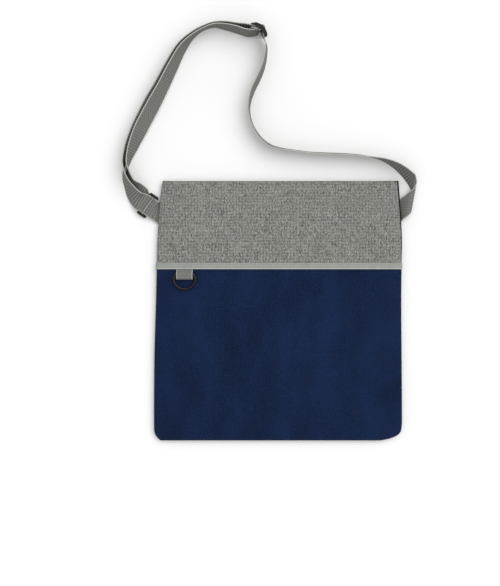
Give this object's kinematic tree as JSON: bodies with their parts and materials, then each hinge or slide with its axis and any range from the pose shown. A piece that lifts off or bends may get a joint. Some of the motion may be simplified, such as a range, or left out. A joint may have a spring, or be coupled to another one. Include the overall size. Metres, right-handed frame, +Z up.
{
  "type": "crossbody tote bag",
  "caption": "Flat soft crossbody tote bag, heather cloth over navy with a tape across, a D-ring on a webbing loop, and an adjustable webbing strap laid in a curve.",
  "frame": {"origin": "on the resting face of the back panel, in the middle of the bag", "axes": "+Z up from the surface through the front of the bag, +Y towards the mouth and the strap, +X to the right of the bag seen from its front"},
  "size_m": [0.3925, 0.5572, 0.0364],
  "materials": {
    "back_cloth": "black plain-woven polyester",
    "heather_cloth": "grey heather-woven polyester",
    "navy_cloth": "navy plain-woven polyester",
    "tape": "light grey folded tape",
    "webbing": "grey ribbed webbing",
    "hardware": "black moulded plastic, satin"
  },
  "bodies": {
    "bag": {"back_panel": "back_cloth", "heather_panel": "heather_cloth", "navy_panel": "navy_cloth", "trim_tape": "tape", "side_tab": "webbing", "strap": "webbing", "d_ring_tab": "webbing", "strap_ring": "hardware", "strap_slider": "hardware"},
    "ring": {"d_ring": "hardware"}
  },
  "joints": [
    {"name": "d_ring_swing", "type": "hinge", "parent": "bag", "child": "ring", "pos_m": [-0.12455, 0.0482, 0.01651], "axis": [-0.9999, 0, -0.0148], "range_deg": [0, 150]}
  ]
}
